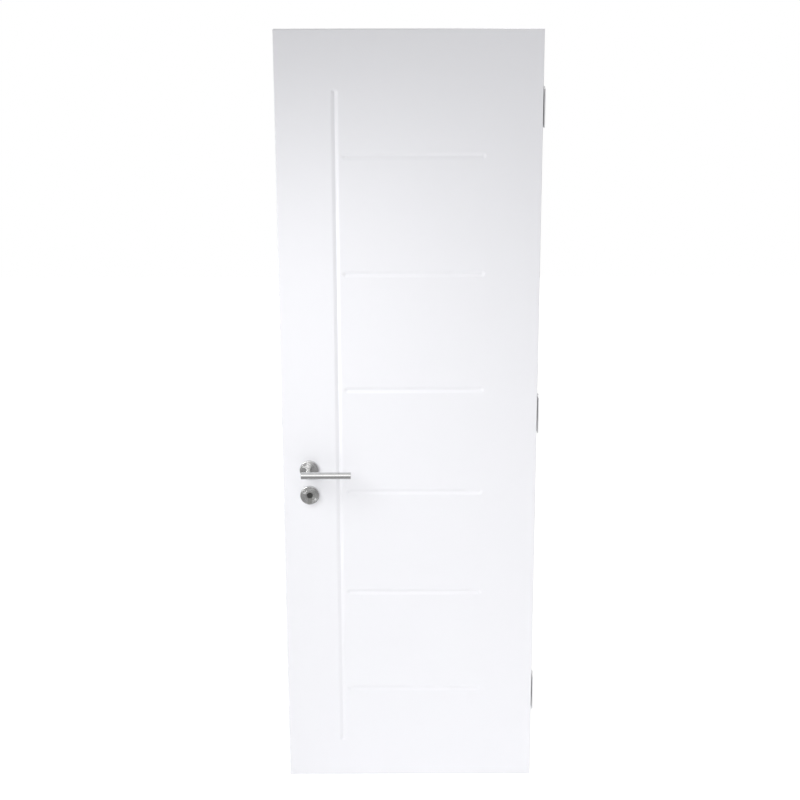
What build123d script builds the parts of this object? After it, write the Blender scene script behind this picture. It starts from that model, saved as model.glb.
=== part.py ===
# A flush interior door leaf with a routed face, three butt hinges, a mortise lock and a lever set.
# The origin is the middle of the bottom hinge's seat on the door frame. +X points out of that seat
# into the frame, -Y is the way the push face looks, and +Z is up. The door is shut.
import math
import os

from build123d import *

os.makedirs("parts", exist_ok=True)

# Leaf
leaf_width = 690
leaf_height = 2100
leaf_thickness = 40
panel_thickness = 6
arris_radius = 1.5
stile_width = 60
top_rail_height = 80
lock_rail_height = 300
bottom_rail_height = 120

# Grooves, placed from the lock edge and from the foot of the leaf
groove_depth = 3.3
groove_slope = 20
groove_shoulder_radius = 5
upright_groove_place = 154
upright_groove_foot = 106
upright_groove_head = 1953
cross_groove_start = 169
cross_groove_end = 547
cross_groove_heights = [271, 566, 861, 1151, 1469, 1779]

# Hinges
hinge_height = 100
hinge_plate_thickness = 3
hinge_gap = 3
hinge_setback = 9
hinge_pin_radius = 3
hinge_pin_clearance = 0.05
hinge_barrel_wall = 3
hinge_barrel_stand_off = 1
hinge_knuckles = 5
hinge_knuckle_gap = 0.4
hinge_pin_head_height = 3
hinge_pin_head_chamfer = 1.2
hinge_screw_radius = 2.6
hinge_screw_head_radius = 4.4
hinge_screw_spacing_deep = 15
hinge_screw_spacing_high = 60
hinge_recess_clearance = 0.2
bottom_hinge_height = 250
top_hinge_drop = 200

# Lock
backset = 72
spindle_height = 927
lock_centres = 72
lock_case_height = 165
lock_case_thickness = 15
lock_case_behind_spindle = 28
lock_case_over_spindle = 45
lock_clearance = 0.5
forend_length = 235
forend_width = 20
forend_thickness = 3
forend_end_radius = 4
forend_screw_radius = 2.2
forend_screw_head_radius = 4.2
forend_screw_spacing = 215
bolt_clearance = 0.2
latch_height = 34
latch_thickness = 12
latch_over_spindle = 18
dead_bolt_height = 34
dead_bolt_thickness = 10
dead_bolt_over_key = 10
bolt_length = 40

# Key cylinder
cylinder_radius = 8.5
cylinder_flag_width = 10
cylinder_profile_height = 33
cylinder_stand_out = 1.5
cylinder_clearance = 0.3
plug_radius = 6.2
plug_ring_width = 0.6
plug_ring_depth = 0.5
keyway_width = 1.8
keyway_height = 8.5
keyway_step = 0.9
keyway_depth = 14

# Lever set
rose_radius = 26
rose_height = 8.5
rose_edge_radius = 1.6
escutcheon_drop = 73
lever_bar_radius = 9.5
lever_bar_length = 135
lever_bar_overhang = 20
lever_bar_reach = 55
lever_edge_radius = 0.8
lever_neck_radius = 8.5
lever_neck_clearance = 0.1
lever_weld_radius = 1.5
spindle_width = 8
spindle_clearance = 0.05
spindle_socket_depth = 30
spindle_hole_radius = 9

# Places that follow from the sizes
hinge_edge_x = -(hinge_plate_thickness + hinge_gap)
lock_edge_x = hinge_edge_x - leaf_width
back_y = (leaf_thickness - hinge_setback) / 2
front_y = back_y - leaf_thickness
middle_y = (front_y + back_y) / 2
foot_z = -bottom_hinge_height
frame_thickness = leaf_thickness - 2 * panel_thickness
key_height = spindle_height - lock_centres
spindle_x = lock_edge_x + backset
spindle_z = foot_z + spindle_height
top_hinge_z = foot_z + leaf_height - top_hinge_drop
hinge_places = {"bottom": 0, "middle": top_hinge_z / 2, "top": top_hinge_z}

# Planes on the push face, measured from the lock edge and the foot of the leaf
face_plane = Plane(origin=(lock_edge_x, front_y, foot_z), x_dir=(1, 0, 0), z_dir=(0, -1, 0))
frame_plane = face_plane.offset(-panel_thickness)
middle_plane = Plane(origin=(0, middle_y, 0), x_dir=(1, 0, 0), z_dir=(0, -1, 0))


def save(part, name):
    part.label = name
    export_step(part, f"parts/{name}.step")


# Grooves

groove_half_mouth = groove_depth / math.tan(math.radians(groove_slope))
groove_reach = groove_half_mouth + groove_shoulder_radius * math.tan(math.radians(groove_slope / 2))


def groove_cutter(visible_length):
    """A V along X with a cone at each end, its shoulders still sharp."""
    length = visible_length - 2 * groove_reach
    with BuildPart() as cutter:
        with BuildSketch(Plane.YZ):
            Polygon(
                (-groove_half_mouth, 0),
                (groove_half_mouth, 0),
                (0, -groove_depth),
                align=None,
            )
        extrude(amount=length / 2, both=True)
        with Locations((-length / 2, 0, 0), (length / 2, 0, 0)):
            Cone(0, groove_half_mouth, groove_depth, align=(Align.CENTER, Align.CENTER, Align.MAX))
    return cutter.part


def key_profile(clearance):
    """The outline of a profile cylinder, round the axis of its plug."""
    flag_length = cylinder_profile_height - cylinder_radius - cylinder_flag_width / 2
    with BuildSketch() as profile:
        Circle(cylinder_radius + clearance)
        Rectangle(cylinder_flag_width + 2 * clearance, flag_length, align=(Align.CENTER, Align.MAX))
        with Locations((0, -flag_length)):
            Circle(cylinder_flag_width / 2 + clearance)
    return profile.sketch


# Face panels

cross_groove = groove_cutter(cross_groove_end - cross_groove_start)
upright_groove = groove_cutter(upright_groove_head - upright_groove_foot)
cross_groove_middle = (cross_groove_start + cross_groove_end) / 2
upright_groove_middle = (upright_groove_foot + upright_groove_head) / 2

with BuildPart() as front_face_panel:
    with BuildSketch(face_plane):
        Rectangle(leaf_width, leaf_height, align=(Align.MIN, Align.MIN))
    extrude(amount=-panel_thickness)
    fillet(front_face_panel.faces().sort_by(Axis.Y)[0].edges(), arris_radius)
    with Locations(face_plane):
        with Locations([(cross_groove_middle, height) for height in cross_groove_heights]):
            add(cross_groove, mode=Mode.SUBTRACT)
        with Locations((upright_groove_place, upright_groove_middle)):
            add(upright_groove, rotation=(0, 0, 90), mode=Mode.SUBTRACT)
    mouths = front_face_panel.faces().sort_by(Axis.Y)[0].inner_wires().edges()
    fillet(mouths, groove_shoulder_radius)
    with BuildSketch(face_plane):
        with Locations((backset, spindle_height)):
            Circle(spindle_hole_radius)
        with Locations((backset, key_height)):
            add(key_profile(cylinder_clearance))
    extrude(amount=-panel_thickness, mode=Mode.SUBTRACT)
save(front_face_panel.part, "front_face_panel")

with BuildPart() as hinge_recesses:
    with Locations([(hinge_edge_x, back_y, height) for height in hinge_places.values()]):
        Box(
            hinge_plate_thickness,
            leaf_thickness - hinge_setback + hinge_recess_clearance,
            hinge_height + 2 * hinge_recess_clearance,
            align=(Align.MAX, Align.MAX, Align.CENTER),
        )

with BuildPart() as back_face_panel:
    add(front_face_panel.part.mirror(middle_plane))
    add(hinge_recesses.part, mode=Mode.SUBTRACT)
save(back_face_panel.part, "back_face_panel")

# Inner frame

lock_rail_foot = spindle_height - lock_centres / 2 - lock_rail_height / 2
lock_rail_head = lock_rail_foot + lock_rail_height
inner_width = leaf_width - 2 * stile_width


def frame_member(start, foot, width, height):
    """A plain member of the inner frame, between the two face panels."""
    with BuildPart() as member:
        with BuildSketch(frame_plane):
            with Locations((start, foot)):
                Rectangle(width, height, align=(Align.MIN, Align.MIN))
        extrude(amount=-frame_thickness)
    return member.part


lock_case_x = lock_edge_x + forend_thickness
lock_case_depth = backset - forend_thickness + lock_case_behind_spindle
lock_case_z = spindle_z + lock_case_over_spindle - lock_case_height / 2
forend_plane = Plane(origin=(lock_edge_x, middle_y, lock_case_z), x_dir=(0, -1, 0), z_dir=(-1, 0, 0))

with BuildPart() as lock_pocket:
    with Locations((lock_edge_x, middle_y, lock_case_z)):
        Box(
            forend_thickness + lock_case_depth + lock_clearance,
            lock_case_thickness + 2 * lock_clearance,
            lock_case_height + 2 * lock_clearance,
            align=(Align.MIN, Align.CENTER, Align.CENTER),
        )
    with BuildSketch(forend_plane):
        RectangleRounded(
            forend_width + 2 * bolt_clearance,
            forend_length + 2 * bolt_clearance,
            forend_end_radius + bolt_clearance,
        )
    extrude(amount=-forend_thickness)

with BuildPart() as lock_stile:
    add(frame_member(0, 0, stile_width, leaf_height))
    add(lock_pocket.part, mode=Mode.SUBTRACT)
save(lock_stile.part, "lock_stile")

with BuildPart() as hinge_stile:
    add(frame_member(leaf_width - stile_width, 0, stile_width, leaf_height))
    add(hinge_recesses.part, mode=Mode.SUBTRACT)
save(hinge_stile.part, "hinge_stile")

with BuildPart() as lock_rail:
    add(frame_member(stile_width, lock_rail_foot, inner_width, lock_rail_height))
    add(lock_pocket.part, mode=Mode.SUBTRACT)
    with BuildSketch(frame_plane):
        with Locations((backset, spindle_height)):
            Circle(spindle_hole_radius)
        with Locations((backset, key_height)):
            add(key_profile(cylinder_clearance))
    extrude(amount=-frame_thickness, mode=Mode.SUBTRACT)
save(lock_rail.part, "lock_rail")

top_rail_foot = leaf_height - top_rail_height
save(frame_member(stile_width, top_rail_foot, inner_width, top_rail_height), "top_rail")
save(frame_member(stile_width, 0, inner_width, bottom_rail_height), "bottom_rail")
lower_core_height = lock_rail_foot - bottom_rail_height
upper_core_height = top_rail_foot - lock_rail_head
save(frame_member(stile_width, bottom_rail_height, inner_width, lower_core_height), "lower_core")
save(frame_member(stile_width, lock_rail_head, inner_width, upper_core_height), "upper_core")

# Lock

latch_z = spindle_z + latch_over_spindle
dead_bolt_z = foot_z + key_height + dead_bolt_over_key - dead_bolt_height

with BuildPart() as bolt_openings:
    with Locations((lock_edge_x, middle_y, latch_z)):
        Box(
            bolt_length + bolt_clearance,
            latch_thickness + 2 * bolt_clearance,
            latch_height + 2 * bolt_clearance,
            align=(Align.MIN, Align.CENTER, Align.CENTER),
        )
    with Locations((lock_edge_x, middle_y, dead_bolt_z)):
        Box(
            bolt_length + bolt_clearance,
            dead_bolt_thickness + 2 * bolt_clearance,
            dead_bolt_height + 2 * bolt_clearance,
            align=(Align.MIN, Align.CENTER, Align.CENTER),
        )

with BuildPart() as lock_case:
    with Locations((lock_case_x, middle_y, lock_case_z)):
        Box(
            lock_case_depth,
            lock_case_thickness,
            lock_case_height,
            align=(Align.MIN, Align.CENTER, Align.CENTER),
        )
    add(bolt_openings.part, mode=Mode.SUBTRACT)
    with BuildSketch(frame_plane):
        with Locations((backset, spindle_height)):
            Circle(spindle_hole_radius)
        with Locations((backset, key_height)):
            add(key_profile(cylinder_clearance))
    extrude(amount=-frame_thickness, mode=Mode.SUBTRACT)
save(lock_case.part, "lock_case")

with BuildPart() as lock_forend:
    with BuildSketch(forend_plane):
        RectangleRounded(forend_width, forend_length, forend_end_radius)
    extrude(amount=-forend_thickness)
    add(bolt_openings.part, mode=Mode.SUBTRACT)
    with Locations(forend_plane):
        with GridLocations(0, forend_screw_spacing, 1, 2):
            CounterSinkHole(
                forend_screw_radius,
                forend_screw_head_radius,
                depth=forend_thickness,
                counter_sink_angle=90,
            )
save(lock_forend.part, "lock_forend")

with BuildPart() as latch_bolt:
    with Locations((lock_edge_x, middle_y, latch_z)):
        Box(bolt_length, latch_thickness, latch_height, align=(Align.MIN, Align.CENTER, Align.CENTER))
    fillet(latch_bolt.faces().sort_by(Axis.X)[0].edges(), arris_radius)
save(latch_bolt.part, "latch_bolt")

with BuildPart() as dead_bolt:
    with Locations((lock_edge_x, middle_y, dead_bolt_z)):
        Box(bolt_length, dead_bolt_thickness, dead_bolt_height, align=(Align.MIN, Align.CENTER, Align.CENTER))
save(dead_bolt.part, "dead_bolt")

# Key cylinder

cylinder_face_offset = rose_height + cylinder_stand_out
cylinder_length = leaf_thickness + 2 * cylinder_face_offset
key_z = foot_z + key_height
cylinder_front_plane = Plane(
    origin=(spindle_x, front_y - cylinder_face_offset, key_z), x_dir=(1, 0, 0), z_dir=(0, -1, 0)
)
cylinder_back_plane = Plane(
    origin=(spindle_x, back_y + cylinder_face_offset, key_z), x_dir=(-1, 0, 0), z_dir=(0, 1, 0)
)

with BuildPart() as key_cylinder:
    with BuildSketch(cylinder_front_plane):
        add(key_profile(0))
    extrude(amount=-cylinder_length)
    for plane in (cylinder_front_plane, cylinder_back_plane):
        with BuildSketch(plane):
            Circle(plug_radius + plug_ring_width)
            Circle(plug_radius, mode=Mode.SUBTRACT)
        extrude(amount=-plug_ring_depth, mode=Mode.SUBTRACT)
        with BuildSketch(plane):
            with Locations((-keyway_step / 2, keyway_height / 4), (keyway_step / 2, -keyway_height / 4)):
                Rectangle(keyway_width, keyway_height / 2)
        extrude(amount=-keyway_depth, mode=Mode.SUBTRACT)
save(key_cylinder.part, "key_cylinder")

# Roses and levers, made on the push face and mirrored to the pull face

rose_plane = Plane(origin=(spindle_x, front_y, spindle_z), x_dir=(1, 0, 0), z_dir=(0, -1, 0))
escutcheon_plane = Plane(
    origin=(spindle_x, front_y, spindle_z - escutcheon_drop), x_dir=(1, 0, 0), z_dir=(0, -1, 0)
)

with BuildPart() as front_rose:
    with BuildSketch(rose_plane):
        Circle(rose_radius)
    extrude(amount=rose_height)
    fillet(front_rose.faces().sort_by(Axis.Y)[0].edges(), rose_edge_radius)
    with BuildSketch(rose_plane):
        Circle(lever_neck_radius + lever_neck_clearance)
    extrude(amount=rose_height, mode=Mode.SUBTRACT)
save(front_rose.part, "front_rose")
save(front_rose.part.mirror(middle_plane), "back_rose")

with BuildPart() as front_escutcheon:
    with BuildSketch(escutcheon_plane):
        Circle(rose_radius)
    extrude(amount=rose_height)
    fillet(front_escutcheon.faces().sort_by(Axis.Y)[0].edges(), rose_edge_radius)
    with BuildSketch(rose_plane):
        with Locations((0, -lock_centres)):
            add(key_profile(cylinder_clearance))
    extrude(amount=rose_height, mode=Mode.SUBTRACT)
save(front_escutcheon.part, "front_escutcheon")
save(front_escutcheon.part.mirror(middle_plane), "back_escutcheon")

bar_plane = Plane(
    origin=(spindle_x - lever_bar_overhang, front_y - lever_bar_reach, spindle_z), z_dir=(1, 0, 0)
)

with BuildPart() as front_lever:
    with BuildSketch(bar_plane):
        Circle(lever_bar_radius)
    extrude(amount=lever_bar_length)
    fillet(front_lever.edges().filter_by(GeomType.CIRCLE), lever_edge_radius)
    with BuildSketch(rose_plane.offset(lever_neck_clearance)):
        Circle(lever_neck_radius)
    extrude(amount=lever_bar_reach - lever_neck_clearance)
    tee = front_lever.edges().filter_by(GeomType.BSPLINE) + front_lever.edges().filter_by(GeomType.OTHER)
    fillet(tee, lever_weld_radius)
    with BuildSketch(rose_plane):
        Rectangle(spindle_width + 2 * spindle_clearance, spindle_width + 2 * spindle_clearance)
    extrude(amount=spindle_socket_depth, mode=Mode.SUBTRACT)
save(front_lever.part, "front_lever")
save(front_lever.part.mirror(middle_plane), "back_lever")

with BuildPart() as spindle:
    with BuildSketch(rose_plane.offset(spindle_socket_depth - spindle_clearance)):
        Rectangle(spindle_width, spindle_width)
    extrude(amount=-(leaf_thickness + 2 * (spindle_socket_depth - spindle_clearance)))
save(spindle.part, "spindle")

# Hinges

barrel_radius = hinge_pin_radius + hinge_barrel_wall
barrel_x = -(hinge_plate_thickness + hinge_gap / 2)
barrel_y = back_y + barrel_radius + hinge_barrel_stand_off
plate_edge_y = front_y + hinge_setback
knuckle_pitch = hinge_height / hinge_knuckles


def hinge_leaf(name, height, side, other_knuckles):
    """One plate of a hinge with its knuckles: side +1 is the frame's plate, -1 the door's."""
    plate_x = barrel_x + side * (hinge_gap + hinge_plate_thickness) / 2
    foot = Plane.XY.offset(height - hinge_height / 2)
    inner_face = Plane(
        origin=(barrel_x + side * hinge_gap / 2, 0, height), x_dir=(0, 1, 0), z_dir=(-side, 0, 0)
    )
    with BuildPart() as leaf:
        with BuildSketch(foot):
            with Locations((plate_x, plate_edge_y)):
                Rectangle(hinge_plate_thickness, barrel_y - plate_edge_y, align=(Align.CENTER, Align.MIN))
            with Locations((barrel_x, barrel_y)):
                Circle(barrel_radius)
        extrude(amount=hinge_height)
        for knuckle in other_knuckles:
            with BuildSketch(foot.offset(knuckle * knuckle_pitch - hinge_knuckle_gap / 2)):
                with Locations((barrel_x, barrel_y)):
                    Rectangle(
                        2 * (barrel_radius + hinge_knuckle_gap), 2 * (barrel_radius + hinge_knuckle_gap)
                    )
            extrude(amount=knuckle_pitch + hinge_knuckle_gap, mode=Mode.SUBTRACT)
        with BuildSketch(foot):
            with Locations((barrel_x, barrel_y)):
                Circle(hinge_pin_radius + hinge_pin_clearance)
        extrude(amount=hinge_height, mode=Mode.SUBTRACT)
        with Locations(inner_face):
            with GridLocations(hinge_screw_spacing_deep, hinge_screw_spacing_high, 2, 2):
                CounterSinkHole(
                    hinge_screw_radius,
                    hinge_screw_head_radius,
                    depth=hinge_plate_thickness,
                    counter_sink_angle=90,
                )
    save(leaf.part, name)


def hinge_pin(name, height):
    """A loose pin with a button head under and over the barrel."""
    with BuildPart() as pin:
        with Locations((barrel_x, barrel_y, height)):
            Cylinder(hinge_pin_radius, hinge_height)
        for end in (1, -1):
            with Locations((barrel_x, barrel_y, height + end * (hinge_height + hinge_pin_head_height) / 2)):
                Cylinder(barrel_radius, hinge_pin_head_height)
        chamfer(pin.faces().sort_by(Axis.Z)[0].edges(), hinge_pin_head_chamfer)
        chamfer(pin.faces().sort_by(Axis.Z)[-1].edges(), hinge_pin_head_chamfer)
    save(pin.part, name)


frame_knuckles = range(0, hinge_knuckles, 2)
door_knuckles = range(1, hinge_knuckles, 2)
for place, height in hinge_places.items():
    hinge_leaf(f"{place}_hinge_frame_plate", height, 1, door_knuckles)
    hinge_leaf(f"{place}_hinge_door_plate", height, -1, frame_knuckles)
    hinge_pin(f"{place}_hinge_pin", height)
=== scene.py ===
import math
import bmesh
import bpy
from mathutils import Matrix, Vector


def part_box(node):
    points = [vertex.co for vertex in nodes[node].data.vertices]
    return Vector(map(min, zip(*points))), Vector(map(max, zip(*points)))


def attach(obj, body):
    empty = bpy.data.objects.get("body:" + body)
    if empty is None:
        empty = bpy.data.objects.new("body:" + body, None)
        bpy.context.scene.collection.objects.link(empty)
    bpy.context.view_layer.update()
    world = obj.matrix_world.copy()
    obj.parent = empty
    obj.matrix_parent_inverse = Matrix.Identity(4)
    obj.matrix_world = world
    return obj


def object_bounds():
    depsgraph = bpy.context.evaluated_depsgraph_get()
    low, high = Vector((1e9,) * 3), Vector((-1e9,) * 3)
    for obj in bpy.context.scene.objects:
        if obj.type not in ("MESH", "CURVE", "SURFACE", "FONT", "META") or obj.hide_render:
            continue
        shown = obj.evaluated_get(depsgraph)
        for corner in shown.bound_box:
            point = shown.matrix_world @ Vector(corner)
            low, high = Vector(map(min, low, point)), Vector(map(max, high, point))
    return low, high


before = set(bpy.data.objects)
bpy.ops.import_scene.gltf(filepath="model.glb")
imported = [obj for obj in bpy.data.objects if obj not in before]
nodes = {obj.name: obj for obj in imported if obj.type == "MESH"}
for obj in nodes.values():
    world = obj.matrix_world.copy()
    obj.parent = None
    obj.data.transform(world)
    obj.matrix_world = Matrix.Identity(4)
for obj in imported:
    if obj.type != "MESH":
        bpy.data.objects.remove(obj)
cadLow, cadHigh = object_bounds()
scene = bpy.context.scene
print("door frame loaded,", len(nodes), "nodes")


# shader helper: a socket with operators, and one way to add any other node
class Wire:
    def __init__(self, tree, socket=None):
        self.tree = tree
        self.socket = socket

    def add(self, kind, settings=None, plugs=None, out=0):
        node = self.tree.nodes.new("ShaderNode" + kind)
        for key, value in (settings or {}).items():
            setattr(node, key, value)
        for key, value in (plugs or {}).items():
            if isinstance(value, Wire):
                self.tree.links.new(value.socket, node.inputs[key])
            else:
                node.inputs[key].default_value = value
        return Wire(self.tree, node.outputs[out])

    def maths(self, operation, first, second=0.0):
        return self.add("Math", {"operation": operation}, {0: first, 1: second})

    def vector(self, operation, plugs, out=0):
        return self.add("VectorMath", {"operation": operation}, plugs, out)

    def __add__(self, other):
        return self.maths("ADD", self, other)

    def __sub__(self, other):
        return self.maths("SUBTRACT", self, other)

    def __rsub__(self, other):
        return self.maths("SUBTRACT", other, self)

    def __mul__(self, other):
        return self.maths("MULTIPLY", self, other)

    __radd__ = __add__
    __rmul__ = __mul__

    # 0 below low, 1 above high
    def step(self, low, high):
        return self.add("MapRange", {"interpolation_type": "SMOOTHSTEP"},
                        {"Value": self, "From Min": low, "From Max": high})

    def between(self, first, second):
        return self.add("Mix", {"data_type": "RGBA"}, {0: self, 6: first, 7: second}, out=2)

    def noise(self, scale, detail=2.0):
        return self.add("TexNoise", plugs={"Vector": self, "Scale": scale, "Detail": detail})

    def part(self, axis):
        return self.add("SeparateXYZ", plugs={0: self}, out="XYZ".index(axis))

    def length(self):
        return self.vector("LENGTH", {0: self}, out=1)

    # object coordinates, moved so that centre is 0 and stretched by size
    def place(self, centre=(0, 0, 0), size=(1, 1, 1)):
        coords = self.add("TexCoord", out=3)
        return self.vector("MULTIPLY", {0: self.vector("SUBTRACT", {0: coords, 1: centre}), 1: size})

    def bump(self, strength, distance):
        return self.add("Bump", plugs={"Height": self, "Strength": strength, "Distance": distance})

    # 1 where the camera looks, straight or by a mirror or through glass, and 0 for light on its way
    def seen(self):
        straight, mirrored, through = (self.add("LightPath", out=ray) for ray in
                                       ("Is Camera Ray", "Is Glossy Ray", "Is Transmission Ray"))
        return self.maths("MAXIMUM", straight, self.maths("MAXIMUM", mirrored, through))


def newFinish(name):
    finish = bpy.data.materials.new(name)
    finish.use_nodes = True
    return finish, Wire(finish.node_tree)


def dress(finish, values):
    shader = finish.node_tree.nodes["Principled BSDF"]
    for key, value in values.items():
        if isinstance(value, Wire):
            finish.node_tree.links.new(value.socket, shader.inputs[key])
        else:
            shader.inputs[key].default_value = value
    return finish


def middle(node):
    low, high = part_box(node)
    return (low + high) / 2


# sprayed white lacquer, satin, with a fine orange peel; seams are the face panels' joints, seen at the edges
lacquer = {"white": (0.857, 0.858, 0.888, 1), "shade": (0.842, 0.844, 0.876, 1), "cloud": 2.2, "peel": 420.0,
           "grain": 2600.0, "seam": 0.0003, "seamFront": -0.0185, "seamBack": 0.0095, "cloudTint": 0.7, "seamTint": 0.8,
           "grainHeight": 0.3, "seamDepth": 4, "bump": 0.25, "relief": 0.00004, "roughness": 0.36, "sheen": 0.08,
           "specular": 0.4}


def lacquerFinish():
    finish, wire = newFinish("white_lacquer")
    spot = wire.place()
    cloud = spot.noise(lacquer["cloud"], 3.0)
    peel = spot.noise(lacquer["peel"], 1.0)
    grain = spot.noise(lacquer["grain"], 1.0)
    depth = spot.part("Y")
    front, back = (wire.maths("ABSOLUTE", depth - lacquer[seam]) for seam in ("seamFront", "seamBack"))
    seams = 1 - wire.maths("MINIMUM", front, back).step(0.0, lacquer["seam"])
    tint = cloud * lacquer["cloudTint"] + seams * lacquer["seamTint"]
    height = peel + grain * lacquer["grainHeight"] - seams * lacquer["seamDepth"]
    return dress(finish, {"Base Color": tint.between(lacquer["white"], lacquer["shade"]),
                          "Roughness": cloud * lacquer["sheen"] + lacquer["roughness"],
                          "Specular IOR Level": lacquer["specular"],
                          "Normal": height.bump(lacquer["bump"], lacquer["relief"])})


# what all the steel shares: how much its lines count in the colour, how much its roughness varies
steel = {"lines": 0.6, "cloud": 60.0, "sheen": 0.06, "ringSheen": 0.08, "relief": 0.00005}


# turned and brushed steel of the roses and escutcheons: fine rings lean the normal outwards or inwards
def ringFinish(name, centre, tone):
    finish, wire = newFinish(name)
    spot = wire.place(centre, (1, 0, 1))
    ring = wire.add("CombineXYZ", plugs={0: spot.length(), 1: spot.part("X") * tone["drift"],
                                         2: spot.part("Z") * tone["drift"]})
    lines = ring.noise(tone["rings"], 3.0)
    bands = ring.noise(tone["bands"], 2.0)
    tint = lines * steel["lines"] + bands * (1 - steel["lines"])
    outward = wire.add("VectorTransform", {"vector_type": "VECTOR", "convert_from": "OBJECT", "convert_to": "WORLD"},
                       {0: wire.vector("NORMALIZE", {0: spot})})
    lean = wire.vector("SCALE", {0: outward, "Scale": (lines - 0.5) * tone["lean"]})
    normal = wire.vector("ADD", {0: wire.add("NewGeometry", out=1), 1: lean})
    return dress(finish, {"Base Color": tint.between(tone["dark"], tone["light"]), "Metallic": 1.0,
                          "Roughness": bands * steel["ringSheen"] + tone["roughness"],
                          "Normal": wire.vector("NORMALIZE", {0: normal})})


# steel brushed along one way: across holds how fast it changes on each axis
def brushedFinish(name, tone, across):
    finish, wire = newFinish(name)
    lines = wire.place(size=across).noise(1.0, 3.0)
    cloud = wire.place().noise(steel["cloud"], 2.0)
    tint = lines * steel["lines"] + cloud * (1 - steel["lines"])
    return dress(finish, {"Base Color": tint.between(tone["dark"], tone["light"]), "Metallic": 1.0,
                          "Roughness": cloud * steel["sheen"] + tone["roughness"],
                          "Normal": lines.bump(tone["bump"], steel["relief"])})


# key cylinder: painted shade of the keyhole recess as a dark plug, in a paler nickel body
def plugShadeFinish(tone):
    finish, wire = newFinish("plug_shade_nickel")
    low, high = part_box("key_cylinder")
    reach = (high.x - low.x) / 2
    spot = wire.place(((low.x + high.x) / 2, 0, high.z - reach), (1, 0, 1))
    body = spot.length().step(reach * tone["plugEdge"], reach * tone["bodyEdge"])
    grain = wire.place().noise(tone["grain"], 3.0)
    # inside the plug's circle the colour is painted shade of the keyhole recess; outside it is the body's own nickel
    colour = body.between(grain.between(tone["dark"], tone["light"]), tone["body"])
    return dress(finish, {"Base Color": colour, "Metallic": 1.0,
                          "Roughness": grain * steel["sheen"] + tone["roughness"],
                          "Normal": grain.bump(tone["bump"], steel["relief"])})


# stove enamel of the hinges, a smoother and harder white
enamel = {"white": (0.87, 0.872, 0.88, 1), "shade": (0.84, 0.842, 0.85, 1), "flow": 260.0, "roughness": 0.25,
          "sheen": 0.1, "bump": 0.2, "relief": 0.00005}


def enamelFinish():
    finish, wire = newFinish("hinge_enamel")
    flow = wire.place().noise(enamel["flow"], 2.0)
    return dress(finish, {"Base Color": flow.between(enamel["white"], enamel["shade"]),
                          "Roughness": flow * enamel["sheen"] + enamel["roughness"],
                          "Normal": flow.bump(enamel["bump"], enamel["relief"])})


# plain planed softwood inside the leaf, grain along the length
timber = {"pale": (0.62, 0.45, 0.28, 1), "dark": (0.44, 0.28, 0.15, 1), "rings": (160, 160, 4),
          "fibres": (1400, 1400, 30), "ringTint": 0.7, "fibreTint": 0.3, "roughness": 0.55, "sheen": 0.15,
          "bump": 0.3, "relief": 0.0001}


def timberFinish():
    finish, wire = newFinish("inner_wood")
    rings = wire.place(size=timber["rings"]).noise(1.0, 3.0)
    fibres = wire.place(size=timber["fibres"]).noise(1.0, 2.0)
    tint = rings * timber["ringTint"] + fibres * timber["fibreTint"]
    return dress(finish, {"Base Color": tint.between(timber["pale"], timber["dark"]),
                          "Roughness": fibres * timber["sheen"] + timber["roughness"],
                          "Normal": fibres.bump(timber["bump"], timber["relief"])})


satin = {"dark": (0.55, 0.55, 0.55, 1), "light": (0.68, 0.68, 0.675, 1), "roughness": 0.16, "rings": 2600.0,
         "bands": 500.0, "drift": 0.02, "lean": 1.8}
barSatin = {"dark": (0.6, 0.6, 0.6, 1), "light": (0.7, 0.7, 0.695, 1), "roughness": 0.1, "bump": 0.08}
forendSatin = {"dark": (0.5, 0.5, 0.5, 1), "light": (0.62, 0.62, 0.615, 1), "roughness": 0.26, "bump": 0.25}
zinc = {"dark": (0.45, 0.46, 0.48, 1), "light": (0.6, 0.61, 0.63, 1), "roughness": 0.38, "bump": 0.2}
nickel = {"dark": (0.58, 0.56, 0.52, 1), "light": (0.7, 0.68, 0.63, 1), "roughness": 0.2, "bump": 0.1}
# dark and light are painted shade on the plug; body is the cylinder's own paler nickel
plugShadeTone = {"dark": (0.09, 0.09, 0.09, 1), "light": (0.16, 0.16, 0.155, 1), "body": (0.45, 0.45, 0.44, 1),
              "plugEdge": 0.9, "bodyEdge": 1.05, "roughness": 0.32, "bump": 0.15, "grain": 900.0}

screwSteel = brushedFinish("screw_steel", zinc, (800, 800, 800))
finishOf = {"white_lacquer": lacquerFinish(),
            "inner_wood": timberFinish(),
            "hinge_steel": enamelFinish(),
            "zinc_steel": brushedFinish("zinc_steel", zinc, (300, 300, 300)),
            "nickel": brushedFinish("bolt_nickel", nickel, (1200, 60, 1200)),
            "dark_nickel": plugShadeFinish(plugShadeTone),
            "satin_steel": brushedFinish("lever_steel", barSatin, (30, 1800, 1800))}
ownFinish = {"lock_forend": brushedFinish("forend_steel", forendSatin, (1500, 1500, 25))}
for side in ("front", "back"):
    for plate in (side + "_rose", side + "_escutcheon"):
        ownFinish[plate] = ringFinish(plate + "_steel", middle(plate), satin)

for name, node in nodes.items():
    slot = node.data.materials[0].name
    node.data.materials.clear()
    node.data.materials.append(ownFinish.get(name) or finishOf[slot])
print("finishes on,", len(bpy.data.materials), "materials")

# countersunk cross-head screws, head up at their own origin
hingeScrew = {"head": 0.0042, "shank": 0.0025, "depth": 0.0017, "cross": 0.0046, "sunk": 0.0012, "taper": 0.75,
              "sides": 24}
forendScrew = {"head": 0.004, "shank": 0.0021, "depth": 0.0019, "cross": 0.0042, "sunk": 0.0012, "taper": 0.75,
               "sides": 24}


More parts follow.
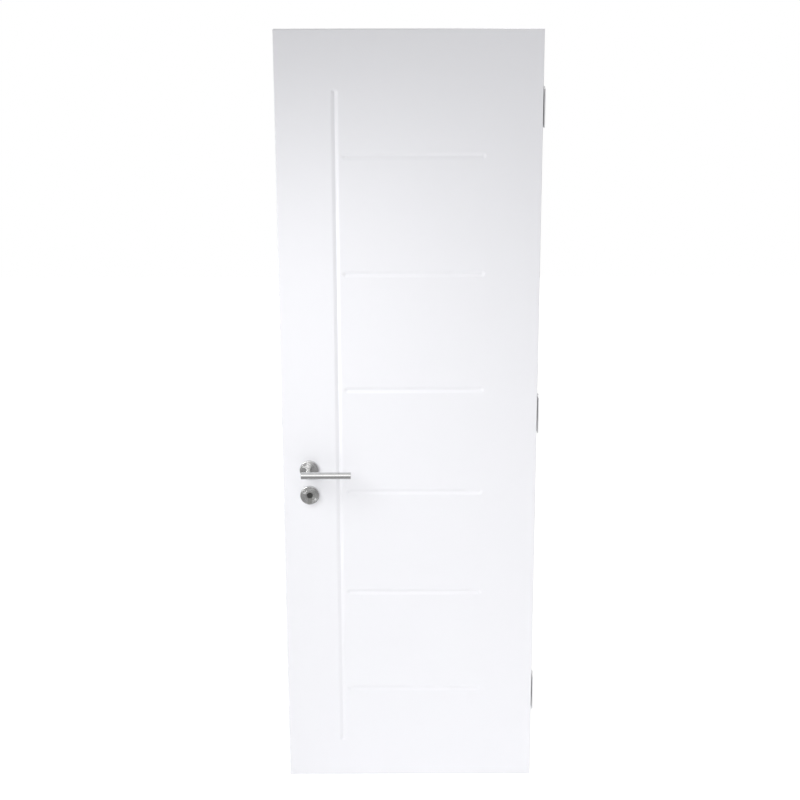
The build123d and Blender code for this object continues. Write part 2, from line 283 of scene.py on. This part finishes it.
def addScrew(bm, screw, place):
    one = bmesh.new()
    # the cross is a three by three grid without its corners, pushed down
    bmesh.ops.create_grid(one, x_segments=3, y_segments=3, size=screw["cross"] / 2)
    corners = [f for f in one.faces if min(map(abs, f.calc_center_median().xy)) > screw["cross"] / 6]
    bmesh.ops.delete(one, geom=corners, context="FACES")
    sunk = bmesh.ops.extrude_face_region(one, geom=one.faces[:])["geom"]
    sunk = [v for v in sunk if isinstance(v, bmesh.types.BMVert)]
    bmesh.ops.translate(one, verts=sunk, vec=(0, 0, -screw["sunk"]))
    bmesh.ops.scale(one, verts=sunk, vec=(screw["taper"], screw["taper"], 1))
    top = [f for f in one.faces if all(v.co.z > -screw["sunk"] / 2 for v in f.verts)]
    bmesh.ops.delete(one, geom=top, context="FACES")
    # flat of the head between the cross and the rim, then the cone under it
    bmesh.ops.create_circle(one, radius=screw["head"], segments=screw["sides"])
    rimEdges = [e for e in one.edges if e.is_wire]
    flat = [e for e in one.edges if e.is_boundary or e.is_wire]
    bmesh.ops.triangle_fill(one, use_beauty=True, edges=flat)
    cone = bmesh.ops.extrude_edge_only(one, edges=rimEdges)["geom"]
    low = [v for v in cone if isinstance(v, bmesh.types.BMVert)]
    small = screw["shank"] / screw["head"]
    bmesh.ops.translate(one, verts=low, vec=(0, 0, -screw["depth"]))
    bmesh.ops.scale(one, verts=low, vec=(small, small, 1))
    bmesh.ops.contextual_create(one, geom=[e for e in cone if isinstance(e, bmesh.types.BMEdge)])
    bmesh.ops.transform(one, verts=one.verts, matrix=place)
    mesh = bpy.data.meshes.new("one_screw")
    one.to_mesh(mesh)
    one.free()
    bm.from_mesh(mesh)
    bpy.data.meshes.remove(mesh)


def newObject(bm, name, finish):
    mesh = bpy.data.meshes.new(name)
    bm.to_mesh(mesh)
    bm.free()
    mesh.materials.append(finish)
    made = bpy.data.objects.new(name, mesh)
    scene.collection.objects.link(made)
    return made


def makePiece(bm, name, finish, body):
    bmesh.ops.recalc_face_normals(bm, faces=bm.faces)
    piece = newObject(bm, name, finish)
    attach(piece, body)
    print("made", name, len(piece.data.polygons), "faces")


# facing 1 looks along +X, -1 along -X
def screwPlace(x, y, z, facing, turn):
    return (Matrix.Translation((x, y, z)) @ Matrix.Rotation(math.radians(90 * facing), 4, "Y")
            @ Matrix.Rotation(math.radians(turn), 4, "Z"))


screwPattern = {"deep": 0.0075, "high": 0.03, "plate": 0.003, "forend": 0.1075, "sunk": 0.0001,
                "hingeTurns": (12, 55, 31, 78), "forendTurns": (20, 64)}
for hinge in ("bottom", "middle", "top"):
    plateLow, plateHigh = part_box(hinge + "_hinge_door_plate")
    face = plateLow.x + screwPattern["plate"] - screwPattern["sunk"]
    level = (plateLow.z + plateHigh.z) / 2
    bm = bmesh.new()
    spots = [(a, b) for a in (-1, 1) for b in (-1, 1)]
    for (a, b), turn in zip(spots, screwPattern["hingeTurns"]):
        addScrew(bm, hingeScrew, screwPlace(face, a * screwPattern["deep"], level + b * screwPattern["high"], 1, turn))
    makePiece(bm, hinge + "_hinge_door_screws", screwSteel, "leaf")
forend = middle("lock_forend")
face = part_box("lock_forend")[0].x + screwPattern["sunk"]
bm = bmesh.new()
for b, turn in zip((1, -1), screwPattern["forendTurns"]):
    addScrew(bm, forendScrew, screwPlace(face, forend.y, forend.z + b * screwPattern["forend"], -1, turn))
makePiece(bm, "forend_screws", screwSteel, "leaf")


# a flat stage sheet whose whole surface is one shader
def makeSheet(name, size, tilt, place, finish, shader):
    tree = finish.node_tree
    tree.links.new(shader.socket, tree.nodes["Material Output"].inputs["Surface"])
    bm = bmesh.new()
    bmesh.ops.create_grid(bm, x_segments=1, y_segments=1, size=0.5)
    bmesh.ops.scale(bm, verts=bm.verts, vec=(*size, 1))
    bmesh.ops.rotate(bm, verts=bm.verts, matrix=Matrix.Rotation(math.radians(tilt), 3, "X"))
    bmesh.ops.translate(bm, verts=bm.verts, vec=place)
    sheet = newObject(bm, name, finish)
    return sheet


# floor under the leaf: white to the camera far off, a little shaded close by, and some light of its own from below
floorAt = {"level": cadLow.z - 0.008, "size": 14.0, "near": 0.8, "far": 2.6, "white": 0.75, "glow": 1.15,
           "tone": (0.88, 0.88, 0.88, 1), "lift": 0.3}


def makeFloor():
    finish, wire = newFinish("pale_floor")
    leaf = middle("front_face_panel")
    away = wire.place(tuple(leaf), (1, 1, 0)).length().step(floorAt["near"], floorAt["far"])
    white = wire.seen() * (away * (1 - floorAt["white"]) + floorAt["white"])
    pale = wire.add("AddShader", plugs={0: wire.add("BsdfDiffuse", plugs={"Color": floorAt["tone"]}),
                                        1: wire.add("Emission", plugs={"Strength": floorAt["lift"]})})
    glow = wire.add("Emission", plugs={"Color": (1, 1, 1, 1), "Strength": floorAt["glow"]})
    mixed = wire.add("MixShader", plugs={0: white, 1: pale, 2: glow})
    makeSheet("floor", (floorAt["size"], floorAt["size"]), 0, (leaf.x, 0, floorAt["level"]), finish, mixed)


# cards that show only in the steel: grey ones under and over it, white strips for its bright lines, a dark flag
cards = {"grey_card": {"size": (40, 40), "place": (-0.35, 0, cadLow.z - 0.004), "tilt": 0, "tone": 0.4},
         "front_strip": {"size": (6, 1.5), "place": (-0.35, -3.6, 2.65), "tilt": 62, "tone": 1.9},
         "top_card": {"size": (6, 1.3), "place": (-0.35, -0.15, 3.6), "tilt": 0, "tone": 0.45},
         "side_strip": {"size": (1.0, 1.6), "place": (-2.5, -3.3, 0.95), "tilt": 90, "tone": 5.0},
         "dark_flag": {"size": (3.0, 3.0), "place": (1.55, -3.0, 1.3), "tilt": 90, "tone": 0.06}}


def makeCard(name, card):
    finish, wire = newFinish(name)
    glow = wire.add("Emission", plugs={"Color": (1, 1, 1, 1), "Strength": card["tone"]})
    sheet = makeSheet(name, card["size"], card["tilt"], card["place"], finish, glow)
    sheet.visible_camera = False
    sheet.visible_diffuse = False
    sheet.visible_shadow = False
    sheet.visible_transmission = False


# white where it is seen, and dimmer as light on the door
studio = {"white": (1, 1, 1, 1), "ambient": 0.526}


def makeWorld():
    world = bpy.data.worlds.new("studio")
    world.use_nodes = True
    scene.world = world
    wire = Wire(world.node_tree)
    strength = wire.seen() * (1 - studio["ambient"]) + studio["ambient"]
    back = world.node_tree.nodes["Background"]
    back.inputs["Color"].default_value = studio["white"]
    world.node_tree.links.new(strength.socket, back.inputs["Strength"])


# a wide one in front, a small near one high on the left for the lever's shadow, one behind for the far face
softboxes = {"front_softbox": {"place": (-1.03, -3.32, 1.27), "target": (0.04, 0.0, -2.2), "size": (2.6, 2.4),
                               "watts": 14.8, "spread": 90, "shines": False},
             "side_softbox": {"place": (-1.32, -0.87, 1.65), "target": (1.99, 0.0, -0.85), "size": (0.8, 0.8),
                              "watts": 5.7, "spread": 104.5, "shines": True},
             "back_softbox": {"place": (0.9, 3.0, 2.9), "target": (-0.35, 0.0, 0.75), "size": (2.0, 2.0),
                              "watts": 15, "spread": 110, "shines": True}}


def makeSoftbox(name, box):
    lamp = bpy.data.lights.new(name, "AREA")
    lamp.shape = "RECTANGLE"
    lamp.size, lamp.size_y = box["size"]
    lamp.energy = box["watts"]
    lamp.spread = math.radians(box["spread"])
    holder = bpy.data.objects.new(name, lamp)
    holder.location = box["place"]
    holder.rotation_euler = (Vector(box["target"]) - Vector(box["place"])).to_track_quat("-Z", "Y").to_euler()
    holder.visible_glossy = box["shines"]
    scene.collection.objects.link(holder)


makeFloor()
for name, card in cards.items():
    makeCard(name, card)
makeWorld()
for name, box in softboxes.items():
    makeSoftbox(name, box)

# long lens from above, as the picture was taken
camera = {"lens": 73.26, "sensor": 36, "place": (-0.376, -4.2425, 2.090), "tilt": 16.09, "roll": -0.18}
eye = bpy.data.cameras.new("camera")
eye.lens = camera["lens"]
eye.sensor_width = camera["sensor"]
viewer = bpy.data.objects.new("camera", eye)
viewer.matrix_world = (Matrix.Translation(camera["place"]) @ Matrix.Rotation(math.radians(90 - camera["tilt"]), 4, "X")
                       @ Matrix.Rotation(math.radians(camera["roll"]), 4, "Z"))
scene.collection.objects.link(viewer)
scene.camera = viewer
scene.view_settings.view_transform = "Standard"
print("lights and camera set")
